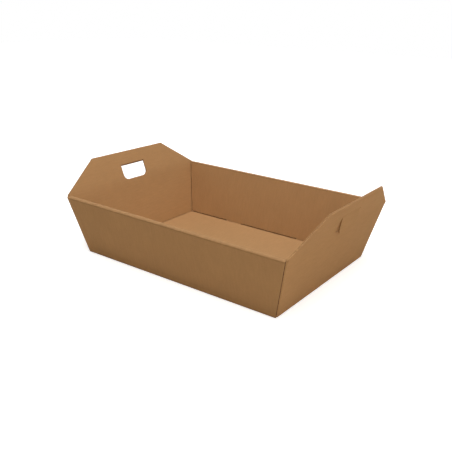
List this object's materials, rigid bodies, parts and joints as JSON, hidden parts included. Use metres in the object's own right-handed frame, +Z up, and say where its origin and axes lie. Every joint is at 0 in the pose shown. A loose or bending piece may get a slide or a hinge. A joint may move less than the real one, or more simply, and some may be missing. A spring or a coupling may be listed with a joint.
{
  "type": "cardboard tray box",
  "caption": "Open cardboard carrying tray with sloping walls, rolled-over long sides and raised, splayed ends with hand holes.",
  "frame": {"origin": "centre of the underside of the base", "axes": "+X along the tray's long side, +Y across it, +Z up out of the open top"},
  "size_m": [0.5795, 0.3944, 0.1771],
  "materials": {
    "kraft_board": "matte"
  },
  "bodies": {
    "tray": {"tray": "kraft_board"},
    "left_handle_flap": {"left_handle_flap": "kraft_board"},
    "right_handle_flap": {"right_handle_flap": "kraft_board"}
  },
  "joints": [
    {"name": "left_flap_crease", "type": "hinge", "parent": "tray", "child": "left_handle_flap", "pos_m": [-0.26766, 0, 0.15013], "axis": [0, 1, 0], "range_deg": [-110, 60]},
    {"name": "right_flap_crease", "type": "hinge", "parent": "tray", "child": "right_handle_flap", "pos_m": [0.26766, 0, 0.15013], "axis": [0, -1, 0], "range_deg": [-13, 157]}
  ]
}
